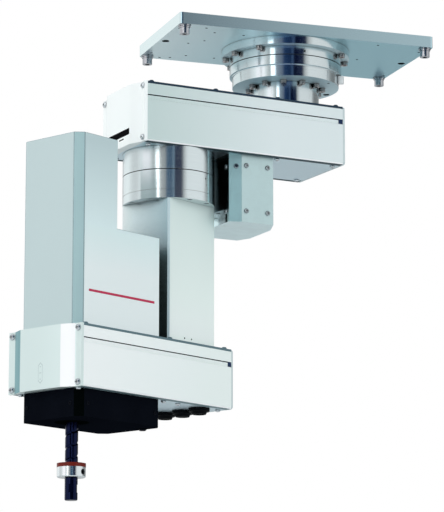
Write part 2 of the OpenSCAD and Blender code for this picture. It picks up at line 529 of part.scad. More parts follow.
module stopper_cushion() color([0.36, 0.1, 0.08]) at_j4() tube(shaft_r, collar_r + 0.2, c_mid, c_top);
module collar_screw() color([0.06, 0.06, 0.08]) at_j4() collar_screw_place() difference() {
    union() {
        translate([0, 0, -3]) cylinder(r = 3.4, h = 3.2);
        translate([0, 0, -8]) cylinder(r = 2, h = 6);
    }
    translate([0, 0, -1.6]) cylinder(r = 1.7, h = 4, $fn = 6);
}

base_plate();
mounting_screws();
j1_housing();
j1_flange_screws();
j1_seal();
j1_circular_spline();
j1_output_ring();
j1_hub();
j1_hub_screws();
j1_flexspline();
j1_index_block();
arm1_top_plate();
arm1_bottom_plate();
arm1_near_panel();
arm1_far_panel();
arm1_outer_cap();
arm1_inner_cap();
arm1_screws();
arm1_slot_plugs();
motor_cover();
motor_cover_screws();
j1_motor();
j2_motor();
j1_belt();
j2_belt();
j2_housing();
j2_seal();
j2_circular_spline();
j1_wave_generator();
j1_motor_pulley();
j2_wave_generator();
j2_motor_pulley();
j2_output_ring();
j2_column_flange();
j2_flexspline();
column();
arm2_top_plate();
arm2_bottom_plate();
arm2_near_panel();
arm2_far_panel();
arm2_outer_cap();
arm2_inner_cap();
arm2_screws();
arm2_slot_plugs();
z_axis_cover();
lower_cover();
lower_cover_screws();
cable_plugs();
j3_motor();
j4_motor();
j3_belt();
j4_belt();
j3_motor_pulley();
j4_motor_pulley();
ball_nut();
spline_nut();
z_shaft();
stopper_collar();
stopper_cushion();
collar_screw();
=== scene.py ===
import bpy, bmesh, json, math
from mathutils import Vector, Matrix


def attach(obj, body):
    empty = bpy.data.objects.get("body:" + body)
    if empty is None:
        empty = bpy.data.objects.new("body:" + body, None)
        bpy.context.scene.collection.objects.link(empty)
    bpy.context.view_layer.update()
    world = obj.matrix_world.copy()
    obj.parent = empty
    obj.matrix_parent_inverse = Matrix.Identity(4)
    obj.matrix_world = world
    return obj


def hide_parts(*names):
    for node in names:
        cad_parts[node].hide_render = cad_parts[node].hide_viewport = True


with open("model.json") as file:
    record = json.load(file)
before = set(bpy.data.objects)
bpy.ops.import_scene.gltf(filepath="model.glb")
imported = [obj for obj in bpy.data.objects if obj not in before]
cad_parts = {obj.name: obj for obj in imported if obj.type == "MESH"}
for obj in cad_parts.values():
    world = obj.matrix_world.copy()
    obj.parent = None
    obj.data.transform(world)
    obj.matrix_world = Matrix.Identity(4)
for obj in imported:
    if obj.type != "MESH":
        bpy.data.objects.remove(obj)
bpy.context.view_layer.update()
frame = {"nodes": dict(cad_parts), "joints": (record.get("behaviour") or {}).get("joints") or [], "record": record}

NODES = frame["nodes"]
NODE_BODY = {n: b for b, ns in frame["record"]["behaviour"]["bodies"].items() for n in ns}
NODE_SLOT = {s["node"]: s["material_slot"] for s in frame["record"]["subparts"]}
MM = 0.001

# ------------------------------------------------------------------ frames
JP = {j["name"]: j for j in frame["joints"]}
J2 = Vector(JP["joint_2"]["pos_m"]); J4 = Vector(JP["joint_4"]["pos_m"])
LINK1 = math.hypot(J2.x, J2.y)
ANG1 = math.atan2(J2.y, J2.x)
ANG2 = math.atan2(J4.y - J2.y, J4.x - J2.x)
LINK2 = math.hypot(J4.x - J2.x, J4.y - J2.y)
WORLD = Matrix.Identity(4)
ARM1 = Matrix.Rotation(ANG1, 4, "Z")
ARM2 = Matrix.Translation((J2.x, J2.y, 0)) @ Matrix.Rotation(ANG2, 4, "Z")
AT_J4 = Matrix.Translation((J4.x, J4.y, 0)) @ Matrix.Rotation(ANG2, 4, "Z")

# ------------------------------------------------------------------ camera
AZ, PITCH, F_PX, DIST, TX, TZ = math.radians(19.4447), math.radians(11.1833), 2645.8223, 3506.4375, -85.1496, -294.4401
right = Vector((math.cos(AZ), -math.sin(AZ), 0))
fwd = Vector((math.sin(AZ) * math.cos(PITCH), math.cos(AZ) * math.cos(PITCH), math.sin(PITCH)))
up = right.cross(fwd)
pos = (right * TX + Vector((0, 0, TZ)) - fwd * DIST) * MM
cam = bpy.data.cameras.new("camera")
cam.sensor_width = 36
cam.lens = F_PX / 512 * 36
cam.clip_start, cam.clip_end = 0.1, 100
cam_o = bpy.data.objects.new("camera", cam)
bpy.context.scene.collection.objects.link(cam_o)
m = Matrix((right, up, -fwd)).transposed().to_4x4()
m.translation = pos
cam_o.matrix_world = m
bpy.context.scene.camera = cam_o
bpy.context.scene.view_settings.view_transform = "Standard"
bpy.context.scene.view_settings.look = "None"

# ------------------------------------------------------------------ node helpers
class NT:
    def __init__(self, tree):
        self.t = tree
        self.n = tree.nodes
        self.l = tree.links
    def new(self, kind, **kw):
        o = self.n.new(kind)
        for k, v in kw.items():
            if k in ("operation", "blend_type", "data_type", "noise_dimensions", "feature", "wave_type", "bands_direction", "wave_profile",
                     "interpolation", "distance", "vector_type", "mode", "noise_type", "clamp", "normalize", "rings_direction"):
                setattr(o, k, v)
        return o
    def link(self, a, b):
        self.l.new(a, b)
        return b
    def math(self, op, a, b=None, clamp=False):
        o = self.n.new("ShaderNodeMath")
        o.operation = op
        o.use_clamp = clamp
        for i, v in enumerate((a, b)):
            if v is None:
                continue
            if isinstance(v, (int, float)):
                o.inputs[i].default_value = v
            else:
                self.l.new(v, o.inputs[i])
        return o.outputs[0]
    def coords(self, rot=0.0, scale=(1, 1, 1)):
        tc = self.n.new("ShaderNodeTexCoord")
        mp = self.n.new("ShaderNodeMapping")
        mp.vector_type = "TEXTURE"
        mp.inputs["Rotation"].default_value = (0, 0, rot)
        self.l.new(tc.outputs["Object"], mp.inputs["Vector"])
        mp2 = self.n.new("ShaderNodeMapping")
        mp2.inputs["Scale"].default_value = scale
        self.l.new(mp.outputs[0], mp2.inputs["Vector"])
        return mp2.outputs[0]
    def noise(self, vec, scale, detail=3, rough=0.5, dist=0.0):
        o = self.n.new("ShaderNodeTexNoise")
        o.inputs["Scale"].default_value = scale
        o.inputs["Detail"].default_value = detail
        o.inputs["Roughness"].default_value = rough
        o.inputs["Distortion"].default_value = dist
        self.l.new(vec, o.inputs["Vector"])
        return o.outputs[0]
    def voronoi(self, vec, scale, out="Color"):
        o = self.n.new("ShaderNodeTexVoronoi")
        o.inputs["Scale"].default_value = scale
        self.l.new(vec, o.inputs["Vector"])
        return o.outputs[out]
    def ramp(self, fac, stops, interp="LINEAR"):
        o = self.n.new("ShaderNodeValToRGB")
        cr = o.color_ramp
        cr.interpolation = interp
        while len(cr.elements) > 1:
            cr.elements.remove(cr.elements[-1])
        cr.elements[0].position = stops[0][0]
        cr.elements[0].color = (*stops[0][1], 1)
        for p, c in stops[1:]:
            e = cr.elements.new(p)
            e.color = (*c, 1)
        self.l.new(fac, o.inputs["Fac"])
        return o.outputs["Color"]
    def rng(self, fac, a, b, lo=0.25, hi=0.75):
        o = self.n.new("ShaderNodeMapRange")
        o.inputs["From Min"].default_value = lo
        o.inputs["From Max"].default_value = hi
        o.inputs["To Min"].default_value = a
        o.inputs["To Max"].default_value = b
        self.l.new(fac, o.inputs["Value"])
        return o.outputs["Result"]
    def bump(self, h, strength, dist, normal=None):
        o = self.n.new("ShaderNodeBump")
        o.inputs["Strength"].default_value = strength
        o.inputs["Distance"].default_value = dist
        self.l.new(h, o.inputs["Height"])
        if normal is not None:
            self.l.new(normal, o.inputs["Normal"])
        return o.outputs[0]

def shade(c, k):
    return tuple(max(0.0, min(1.0, v * k)) for v in c)

def new_mat(name):
    mt = bpy.data.materials.new(name)
    mt.use_nodes = True
    t = NT(mt.node_tree)
    b = next(n for n in t.n if n.type == "BSDF_PRINCIPLED")
    return mt, t, b

def painted_occlusion_shade(t, col, amount, dist):
    """Painted shade: darker colour down in sockets, seams and corners, wherever nearby geometry hides the surroundings.
    """
    ao = t.n.new("ShaderNodeAmbientOcclusion")
    ao.samples = 8
    ao.inputs["Distance"].default_value = dist
    lo, hi = (0.35, 0.9) if dist > 0.02 else (0.25, 0.8)
    f = t.rng(ao.outputs["AO"], 1 - amount, 1.0, lo, hi)
    mx = t.n.new("ShaderNodeMix"); mx.data_type = "RGBA"; mx.blend_type = "MULTIPLY"
    mx.inputs["Factor"].default_value = 1.0
    t.link(col, mx.inputs["A"])
    t.link(f, mx.inputs["B"])
    return mx.outputs["Result"]

def surface(name, base, metallic, rough, var=0.04, rvar=0.04, cloud=18.0, grain=None, grain_rot=0.0, grain_bump=0.0, peel=0.0, peel_scale=900,
            wear=0.0, coat=0.0, coat_rough=0.2, spec=0.5, spangle=0.0, ao_shade=0.0, ao_shade_dist=0.003, painted_light_ramp=None):
    """A worked metal, painted or moulded surface: clouded colour, directional grain, fine peel and lighter worn edges."""
    mt, t, b = new_mat(name)
    co = t.coords()
    cl = t.noise(co, cloud, 5, 0.55, 0.3)
    col = t.ramp(cl, [(0.25, shade(base, 1 - var)), (0.5, base), (0.75, shade(base, 1 + var))])
    fac = cl
    normal = None
    if spangle:
        v = t.voronoi(co, 90)
        sp = t.n.new("ShaderNodeRGBToBW"); t.link(v, sp.inputs[0])
        mx = t.n.new("ShaderNodeMix"); mx.data_type = "RGBA"; mx.blend_type = "MULTIPLY"
        mx.inputs["Factor"].default_value = 1.0
        t.link(col, mx.inputs["A"])
        t.link(t.ramp(sp.outputs[0], [(0.2, (1 - spangle,) * 3), (0.8, (1.0,) * 3)]), mx.inputs["B"])
        col = mx.outputs["Result"]
    r = t.rng(cl, rough - rvar, rough + rvar, 0.3, 0.7)
    if grain:
        g = t.noise(t.coords(grain_rot, grain), 1.0, 4, 0.65)
        gr = t.rng(g, -rvar, rvar, 0.3, 0.7)
        r = t.math("ADD", r, gr, clamp=True)
        mx = t.n.new("ShaderNodeMix"); mx.data_type = "RGBA"; mx.blend_type = "MULTIPLY"
        mx.inputs["Factor"].default_value = 1.0
        t.link(col, mx.inputs["A"])
        t.link(t.ramp(g, [(0.25, (1 - var * 1.2,) * 3), (0.75, (1.0,) * 3)]), mx.inputs["B"])
        col = mx.outputs["Result"]
        if grain_bump:
            normal = t.bump(g, grain_bump, 0.00005, normal)
    if peel:
        p = t.noise(co, peel_scale, 3, 0.5)
        normal = t.bump(p, peel, 0.00008, normal)
    if wear:
        ge = t.n.new("ShaderNodeNewGeometry")
        w = t.ramp(ge.outputs["Pointiness"], [(0.5, (0, 0, 0)), (0.58, (1, 1, 1))])
        wn = t.noise(co, 260, 4, 0.7)
        bw = t.n.new("ShaderNodeRGBToBW"); t.link(w, bw.inputs[0])
        wf = t.math("MULTIPLY", t.math("MULTIPLY", bw.outputs[0], t.rng(wn, 0, 1, 0.35, 0.6), clamp=True), wear)
        mx = t.n.new("ShaderNodeMix"); mx.data_type = "RGBA"
        t.link(wf, mx.inputs["Factor"])
        t.link(col, mx.inputs["A"])
        mx.inputs["B"].default_value = (0.75, 0.78, 0.8, 1)
        col = mx.outputs["Result"]
    # painted light and shade: the colour is scaled by a ramp along one object axis, given as (from, to, factor at from,
    # factor at to, axis)
    if painted_light_ramp:
        sx = t.n.new("ShaderNodeSeparateXYZ"); t.link(co, sx.inputs[0])
        f = t.rng(sx.outputs[painted_light_ramp[4]], 0.0, 1.0, painted_light_ramp[0], painted_light_ramp[1])
        mx = t.n.new("ShaderNodeMix"); mx.data_type = "RGBA"; mx.blend_type = "MULTIPLY"
        mx.inputs["Factor"].default_value = 1.0
        t.link(col, mx.inputs["A"])
        t.link(t.ramp(f, [(0.0, painted_light_ramp[2]), (1.0, painted_light_ramp[3])]), mx.inputs["B"])
        col = mx.outputs["Result"]
    # painted shade: the colour darkens where nearby geometry hides the surroundings
    if ao_shade:
        col = painted_occlusion_shade(t, col, ao_shade, ao_shade_dist)
    t.link(col, b.inputs["Base Color"])
    t.link(r, b.inputs["Roughness"])
    b.inputs["Metallic"].default_value = metallic
    b.inputs["Specular IOR Level"].default_value = spec
    if coat:
        b.inputs["Coat Weight"].default_value = coat
        b.inputs["Coat Roughness"].default_value = coat_rough
    if normal is not None:
        t.link(normal, b.inputs["Normal"])
    return mt

def turned(name, base, rough, aniso=0.7, ao_shade=0.6, painted_reflection_bands=None):
    """Turned aluminium: fine rings that follow the tool on the sides (by height), with anisotropic shine set by a
    tangent round the z axis.
    """
    mt, t, b = new_mat(name)
    co = t.coords()
    cl = t.noise(co, 14, 4, 0.5)
    g = t.noise(t.coords(0, (9, 9, 2400)), 1.0, 3, 0.6)
    col = t.ramp(cl, [(0.3, shade(base, 0.97)), (0.7, base)])
    mx = t.n.new("ShaderNodeMix"); mx.data_type = "RGBA"; mx.blend_type = "MULTIPLY"
    mx.inputs["Factor"].default_value = 1.0
    t.link(col, mx.inputs["A"])
    t.link(t.ramp(g, [(0.3, (0.93, 0.94, 0.95)), (0.7, (1, 1, 1))]), mx.inputs["B"])
    col = mx.outputs["Result"]
    # painted reflection: light and dark bands by the angle round the z axis, measured from the main camera's side,
    # multiplied into the colour
    if painted_reflection_bands:
        sx = t.n.new("ShaderNodeSeparateXYZ"); t.link(co, sx.inputs[0])
        across = t.math("ADD", t.math("MULTIPLY", sx.outputs[0], math.cos(AZ)), t.math("MULTIPLY", sx.outputs[1], -math.sin(AZ)))
        near = t.math("MULTIPLY", t.math("ADD", t.math("MULTIPLY", sx.outputs[0], math.sin(AZ)), t.math("MULTIPLY", sx.outputs[1], math.cos(AZ))), -1.0)
        f = t.math("ADD", t.math("MULTIPLY", t.math("ARCTAN2", across, near), 1 / (2 * math.pi)), 0.5)
        mx = t.n.new("ShaderNodeMix"); mx.data_type = "RGBA"; mx.blend_type = "MULTIPLY"
        mx.inputs["Factor"].default_value = 1.0
        t.link(col, mx.inputs["A"])
        t.link(t.ramp(f, [(a / 360 + 0.5, c) for a, c in painted_reflection_bands]), mx.inputs["B"])
        col = mx.outputs["Result"]
    # painted shade in grooves, steps and under flanges
    t.link(painted_occlusion_shade(t, col, ao_shade, 0.004), b.inputs["Base Color"])
    r = t.math("ADD", t.rng(g, -0.03, 0.03, 0.3, 0.7), t.rng(cl, rough - 0.015, rough + 0.015, 0.3, 0.7), clamp=True)
    b.inputs["Anisotropic"].default_value = aniso
    b.inputs["Anisotropic Rotation"].default_value = 0.25
    tg = t.n.new("ShaderNodeTangent"); tg.direction_type = "RADIAL"; tg.axis = "Z"
    t.link(tg.outputs[0], b.inputs["Tangent"])
    t.link(r, b.inputs["Roughness"])
    b.inputs["Metallic"].default_value = 1.0
    t.link(t.bump(g, 0.06, 0.00001), b.inputs["Normal"])
    return mt

A1R, A2R = ANG1, ANG2
MAT = {
    "machined_plate": surface("machined_plate", (0.80, 0.90, 0.92), 1.0, 0.30, 0.012, 0.015, 7, grain=(24, 1600, 1600), grain_bump=0.03, ao_shade=0.55),
    "machined_edge": surface("machined_edge", (0.80, 0.91, 0.92), 1.0, 0.09, 0.012, 0.015, 7, grain=(24, 1600, 1600), grain_bump=0.015),
    "machined_edge_near_shaded": surface("machined_edge_near_shaded", (0.58, 0.77, 0.84), 1.0, 0.10, 0.012, 0.015, 7, grain=(24, 1600, 1600), grain_bump=0.015),
    "machined_under": surface("machined_under", (0.82, 0.93, 0.95), 1.0, 0.30, 0.012, 0.015, 7, grain=(24, 1600, 1600), grain_bump=0.03, ao_shade=0.55, painted_light_ramp=(-0.20, 0.0, (1, 1, 1), (0.44, 0.67, 0.74), 0)),
    "turned_aluminium": turned("turned_aluminium", (0.82, 0.88, 0.89), 0.23, 0.95),
    "turned_j1": turned("turned_j1", (0.80, 0.87, 0.88), 0.16, 0.9, painted_reflection_bands=[(-120, (0.85, 0.85, 0.87)), (-60, (0.90, 0.92, 0.92)), (-48, (1.0, 1.0, 1.0)), (-20, (1.0, 1.0, 1.0)), (-14, (0.72, 0.80, 0.86)), (-8, (0.50, 0.60, 0.74)), (-2, (0.30, 0.38, 0.60)), (9, (0.24, 0.28, 0.42)), (13, (0.75, 0.80, 0.86)), (20, (0.95, 0.94, 0.94)), (60, (0.85, 0.84, 0.84)), (120, (0.85, 0.85, 0.87))]),
    "turned_under": surface("turned_under", (0.60, 0.73, 0.77), 0.9, 0.55, 0.01, 0.02, 12, ao_shade=0.75, ao_shade_dist=0.004),
    "bore_painted_shade": surface("bore_painted_shade", (0.008, 0.014, 0.020), 0.3, 0.6, 0.1, 0.05, 60, spec=0.1),
    "slot_painted_shade": surface("slot_painted_shade", (0.014, 0.034, 0.052), 0.2, 0.6, 0.1, 0.05, 60, spec=0.1),
    "slot_navy": surface("slot_navy", (0.012, 0.030, 0.085), 0.1, 0.5, 0.1, 0.05, 60, peel=0.05, spec=0.2),
    "under_edge_1": surface("under_edge_1", (0.030, 0.060, 0.075), 0.3, 0.5, 0.05, 0.04, 60, peel=0.05, spec=0.2),
    "under_edge_2": surface("under_edge_2", (0.16, 0.24, 0.26), 0.3, 0.5, 0.05, 0.04, 60, peel=0.05, spec=0.3),
    "edge_painted_highlight": surface("edge_painted_highlight", (1.0, 1.0, 1.0), 0.0, 0.4, 0.003, 0.02, 12, peel=0.02, coat=0.6, coat_rough=0.2),
    "fold_painted_dark": surface("fold_painted_dark", (0.34, 0.45, 0.48), 0.75, 0.40, 0.04, 0.03, 30, peel=0.04),
    "fold_painted_grey": surface("fold_painted_grey", (0.22, 0.30, 0.32), 0.75, 0.40, 0.04, 0.03, 30, peel=0.04),
    "cap_rim": surface("cap_rim", (0.60, 0.68, 0.69), 0.3, 0.45, 0.01, 0.03, 30, peel=0.04),
    "anodised_1": surface("anodised_1", (0.83, 0.90, 0.905), 0.5, 0.46, 0.008, 0.02, 9, grain=(12, 1500, 1500), grain_rot=A1R, grain_bump=0.05, ao_shade=0.85, ao_shade_dist=0.002, painted_light_ramp=(-0.218, -0.04, (0.78, 0.85, 0.825), (1.0, 1.0, 1.0), 0)),
    "anodised_2": surface("anodised_2", (0.89, 0.965, 0.955), 0.4, 0.46, 0.008, 0.02, 9, grain=(12, 1500, 1500), grain_rot=A2R, grain_bump=0.05, ao_shade=0.6, ao_shade_dist=0.002, painted_light_ramp=(-0.36, -0.13, (1.16, 1.12, 1.125), (1.06, 1.05, 1.03), 0)),
    "top_edge_1": surface("top_edge_1", (0.018, 0.042, 0.070), 0.6, 0.40, 0.05, 0.03, 40, peel=0.05),
    "top_edge_2": surface("top_edge_2", (0.13, 0.21, 0.24), 0.6, 0.40, 0.05, 0.03, 40, peel=0.05),
    # painted shade: strong occlusion darkening reaching 70 mm, for the dark gap between the column and the tall cover
    "anodised_col": surface("anodised_col", (0.80, 0.93, 1.0), 0.9, 0.26, 0.004, 0.010, 9, grain=(600, 600, 5), grain_rot=A2R, grain_bump=0.0, ao_shade=0.95, ao_shade_dist=0.07),
    "anodised_col_near": surface("anodised_col_near", (0.90, 0.96, 0.955), 0.45, 0.45, 0.004, 0.010, 9, grain=(600, 600, 5), grain_rot=A2R, grain_bump=0.0, ao_shade=0.3, ao_shade_dist=0.02, painted_light_ramp=(-0.25, -0.43, (0.87, 0.93, 0.905), (1.09, 1.10, 1.06), 2)),
    "anodised_col_left": surface("anodised_col_left", (0.80, 0.93, 1.0), 0.9, 0.26, 0.004, 0.010, 9, grain=(600, 600, 5), grain_rot=A2R, grain_bump=0.0, ao_shade=0.95, ao_shade_dist=0.07, painted_light_ramp=(-0.2327, -0.196, (1.24, 1.20, 1.13), (0.76, 0.84, 0.84), 0)),
    "anodised_col_edge": surface("anodised_col_edge", (0.62, 0.76, 0.80), 0.2, 0.5, 0.004, 0.010, 9, peel=0.02),
    "deck_plate": surface("deck_plate", (0.70, 0.84, 0.90), 1.0, 0.34, 0.02, 0.02, 9, grain=(1400, 40, 1400), grain_rot=A1R, grain_bump=0.03, ao_shade=0.6),
    "satin_cap": surface("satin_cap", (0.97, 1.0, 0.99), 0.15, 0.45, 0.003, 0.02, 12, peel=0.04, coat=0.3, coat_rough=0.25, ao_shade=0.4),
    "satin_cap2": surface("satin_cap2", (0.75, 0.86, 0.84), 0.45, 0.36, 0.004, 0.02, 12, peel=0.04, coat=0.2, coat_rough=0.2, ao_shade=0.5),
    "cap_painted_highlight": surface("cap_painted_highlight", (1.0, 1.0, 1.0), 0.0, 0.40, 0.002, 0.02, 12, peel=0.03, coat=1.0, coat_rough=0.10, ao_shade=0.2),
    "cap_shade": surface("cap_shade", (0.22, 0.40, 0.43), 0.45, 0.36, 0.006, 0.02, 12, peel=0.04, coat=0.2, coat_rough=0.2, ao_shade=0.5),
    "zinc_sheet": surface("zinc_sheet", (0.71, 0.89, 0.895), 1.0, 0.42, 0.03, 0.03, 22, spangle=0.03, grain=(60, 60, 900), grain_rot=A1R, grain_bump=0.02, ao_shade=0.6),
    "zinc_under": surface("zinc_under", (0.80, 0.94, 0.95), 0.9, 0.40, 0.03, 0.03, 22, spangle=0.03, ao_shade=0.3),
    "zinc_narrow": surface("zinc_narrow", (0.52, 0.79, 0.81), 0.7, 0.50, 0.03, 0.03, 22, spangle=0.03, ao_shade=0.6),
    "zinc_painted_shade": surface("zinc_painted_shade", (0.26, 0.31, 0.33), 1.0, 0.10, 0.03, 0.03, 22, spangle=0.03, ao_shade=0.5, ao_shade_dist=0.01, painted_light_ramp=(-0.240, -0.262, (1, 1, 1), (2.6, 2.7, 2.6), 2)),
    "steel_sheet": surface("steel_sheet", (0.64, 0.755, 0.76), 0.75, 0.46, 0.012, 0.02, 7, peel=0.03, peel_scale=1400, ao_shade=0.5),
    "sheet_near": surface("sheet_near", (0.63, 0.76, 0.78), 0.75, 0.46, 0.012, 0.02, 7, peel=0.03, peel_scale=1400, ao_shade=0.5, painted_light_ramp=(-0.20, -0.36, (1, 1, 1), (1.52, 1.45, 1.42), 2)),
    "sheet_fold": surface("sheet_fold", (0.72, 0.97, 0.96), 0.75, 0.46, 0.012, 0.02, 7, peel=0.03, peel_scale=1400, ao_shade=0.5),
    "black_plastic": surface("black_plastic", (0.0036, 0.0046, 0.0076), 0.0, 0.5, 0.15, 0.05, 30, peel=0.10, peel_scale=1600, spec=0.0),
    "black_deep_and_corner_shade": surface("black_deep_and_corner_shade", (0.0009, 0.0018, 0.0018), 0.0, 0.5, 0.15, 0.05, 30, peel=0.10, peel_scale=1600, spec=0.0),
    "black_pan": surface("black_pan", (0.0045, 0.0055, 0.009), 0.3, 0.45, 0.12, 0.06, 300, peel=0.08, peel_scale=2500, spec=0.02, ao_shade=0.9),
    "black_rubber": surface("black_rubber", (0.0040, 0.0045, 0.0058), 0.0, 0.55, 0.15, 0.08, 40, peel=0.2, peel_scale=1300, spec=0.04),
    "steel_screw": surface("steel_screw", (0.66, 0.69, 0.72), 1.0, 0.18, 0.10, 0.06, 300, peel=0.05, peel_scale=2500, wear=0.2, ao_shade=0.97, ao_shade_dist=0.0022),
    "cover_screw": surface("cover_screw", (0.34, 0.38, 0.40), 1.0, 0.26, 0.10, 0.06, 300, peel=0.05, peel_scale=2500, wear=0.2, ao_shade=0.97, ao_shade_dist=0.0022),
    "mount_screw": surface("mount_screw", (0.50, 0.50, 0.53), 1.0, 0.16, 0.10, 0.06, 300, peel=0.03, peel_scale=2500, ao_shade=0.95, ao_shade_dist=0.003),
    "dark_screw": surface("dark_screw", (0.36, 0.32, 0.31), 1.0, 0.24, 0.10, 0.06, 300, peel=0.05, peel_scale=2500, wear=0.2, ao_shade=0.95, ao_shade_dist=0.0022),
    "black_screw": surface("black_screw", (0.012, 0.013, 0.017), 0.5, 0.40, 0.12, 0.06, 300, peel=0.08, peel_scale=2500, spec=0.1, ao_shade=0.9),
    "white_resin": surface("white_resin", (0.86, 0.88, 0.88), 0.0, 0.30, 0.02, 0.03, 60, peel=0.06, coat=0.3, ao_shade=0.8),
    "reducer_steel": surface("reducer_steel", (0.52, 0.54, 0.56), 1.0, 0.25, 0.06, 0.05, 30, grain=(30, 30, 1500), grain_bump=0.1),
    "motor_black": surface("motor_black", (0.03, 0.032, 0.036), 0.2, 0.42, 0.1, 0.05, 30, peel=0.2),
    "pulley_alloy": surface("pulley_alloy", (0.62, 0.64, 0.66), 1.0, 0.28, 0.05, 0.05, 40, grain=(30, 30, 1500), grain_bump=0.1),
    "belt_rubber": surface("belt_rubber", (0.02, 0.02, 0.022), 0.0, 0.6, 0.15, 0.06, 60, peel=0.3),
    "shaft_steel": surface("shaft_steel", (0.004, 0.008, 0.040), 0.95, 0.22, 0.12, 0.05, 60, grain=(500, 500, 60), grain_bump=0.05, coat=0.07, coat_rough=0.12, ao_shade=0.9, ao_shade_dist=0.002),
    "bright_aluminium": turned("bright_aluminium", (0.88, 0.91, 0.92), 0.20, 0.6, 0.5),
    "brown_rubber": surface("brown_rubber", (0.15, 0.014, 0.008), 0.0, 0.40, 0.10, 0.05, 120, peel=0.06, coat=0.05, coat_rough=0.2, spec=0.15),
    "crimson_ink": surface("crimson_ink", (0.51, 0.009, 0.068), 0.0, 0.38, 0.03, 0.04, 60, peel=0.03),
    "label_film": surface("label_film", (0.007, 0.007, 0.008), 0.0, 0.50, 0.1, 0.05, 80, peel=0.04, spec=0.0),
    "faint_ink": surface("faint_ink", (0.50, 0.60, 0.60), 0.2, 0.4, 0.05, 0.04, 90, peel=0.03),
}
def mat_for(node):
    s = NODE_SLOT[node]
    if s == "anodised_panel":
        return MAT["anodised_1" if node.startswith("arm1") else "anodised_2" if node.startswith("arm2") else "anodised_col"]
    if s == "satin_cap":
        return MAT["satin_cap" if node.startswith("arm1") else "satin_cap2"]
    if node in ("j1_housing", "j1_output_ring", "j1_hub"):
        return MAT["turned_j1"]
    if node == "motor_cover_screws":
        return MAT["cover_screw"]
    if node == "lower_cover_screws":
        return MAT["black_pan"]
    if node == "mounting_screws":
        return MAT["mount_screw"]
    if node in ("j1_flange_screws", "j1_hub_screws"):
        return MAT["dark_screw"]
    return MAT[s]

# ------------------------------------------------------------------ mesh helpers
def finish_bm(bm, name, mat, body, replaces=(), angle=32, smooth=True):
    me = bpy.data.meshes.new(name)
    bmesh.ops.recalc_face_normals(bm, faces=bm.faces)
    if bm.calc_volume(signed=True) < 0:
        bmesh.ops.reverse_faces(bm, faces=bm.faces)
    bm.to_mesh(me)
    bm.free()
    if smooth:
        me.polygons.foreach_set("use_smooth", [True] * len(me.polygons))
        me.set_sharp_from_angle(angle=math.radians(angle))
    me.materials.append(mat)
    o = bpy.data.objects.new(name, me)
    bpy.context.scene.collection.objects.link(o)
    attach(o, body)
    if replaces:
        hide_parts(*replaces)
    if smooth:
        wn = o.modifiers.new("even_faces", "WEIGHTED_NORMAL")
        wn.keep_sharp = True
        wn.weight = 80
    return o

def skin(node, bevel=0.0004, segs=2, angle=28, mat=None, limit=None):
    """The CAD node's own shape with its edges broken, in the same place."""
    src = NODES[node]
    bm = bmesh.new()
    bm.from_mesh(src.data)
    bmesh.ops.remove_doubles(bm, verts=bm.verts, dist=2e-6)
    bmesh.ops.dissolve_limit(bm, angle_limit=math.radians(0.4), verts=bm.verts, edges=bm.edges)
    if bevel:
        edges = []
        for e in bm.edges:
            if len(e.link_faces) == 2 and e.is_manifold:
                a = e.calc_face_angle_signed(0)
                if abs(a) > math.radians(angle) and a > 0:
                    edges.append(e)
        if limit:
            edges = [e for e in edges if limit(e)]
        bmesh.ops.bevel(bm, geom=edges, offset=bevel, offset_type="OFFSET", segments=segs, profile=0.5, affect="EDGES", clamp_overlap=True)
    return finish_bm(bm, node + "_finish", mat or mat_for(node), NODE_BODY[node], (node,))

def lathe(points, segs=96, mtx=WORLD, closed=False):
    """bmesh of a profile [(r, z)] in metres turned round z. Ends at r=0 close by themselves."""
    bm = bmesh.new()
    rows = []
    for r, z in points:
        if r < 1e-9:
            rows.append([bm.verts.new(mtx @ Vector((0, 0, z)))])
        else:
            rows.append([bm.verts.new(mtx @ Vector((r * math.cos(2 * math.pi * i / segs), r * math.sin(2 * math.pi * i / segs), z))) for i in range(segs)])
    pairs = list(zip(rows, rows[1:]))
    if closed:
        pairs.append((rows[-1], rows[0]))
    for a, b in pairs:
        for i in range(segs):
            j = (i + 1) % segs
            if len(a) == 1 and len(b) == 1:
                continue
            if len(a) == 1:
                bm.faces.new((a[0], b[i], b[j]))
            elif len(b) == 1:
                bm.faces.new((a[i], a[j], b[0]))
            else:
                bm.faces.new((a[i], a[j], b[j], b[i]))
    return bm

def join(dst, src):
    me = bpy.data.meshes.new("tmp")
    src.to_mesh(me)
    src.free()
    dst.from_mesh(me)
    bpy.data.meshes.remove(me)

def slab(outline, thick, mtx):
    """A flat piece with outline [(u, v)] in its own plane, thick along w; mtx takes (u, v, w) to the row frame."""
    bm = bmesh.new()
    lo = [bm.verts.new(mtx @ Vector((u, v, 0))) for u, v in outline]
    hi = [bm.verts.new(mtx @ Vector((u, v, thick))) for u, v in outline]
    bm.faces.new(lo[::-1])
    bm.faces.new(hi)
    n = len(lo)
    for i in range(n):
        j = (i + 1) % n
        bm.faces.new((lo[i], lo[j], hi[j], hi[i]))
    return bm

def round_rect(w, h, r, n=6):
    pts = []
    for cx, cy, a0 in ((w / 2 - r, h / 2 - r, 0), (-w / 2 + r, h / 2 - r, 90), (-w / 2 + r, -h / 2 + r, 180), (w / 2 - r, -h / 2 + r, 270)):
        for i in range(n + 1):
            a = math.radians(a0 + 90 * i / n)
            pts.append((cx + r * math.cos(a), cy + r * math.sin(a)))
    return pts

def plane_mtx(frame_m, origin, u, v):
    """Matrix whose x, y axes are u, v (in frame_m) at origin, in metres; w is u x v."""
    u, v = Vector(u).normalized(), Vector(v).normalized()
    w = u.cross(v)
    mm = Matrix((u, v, w)).transposed().to_4x4()
    mm.translation = Vector(origin)
    return frame_m @ mm

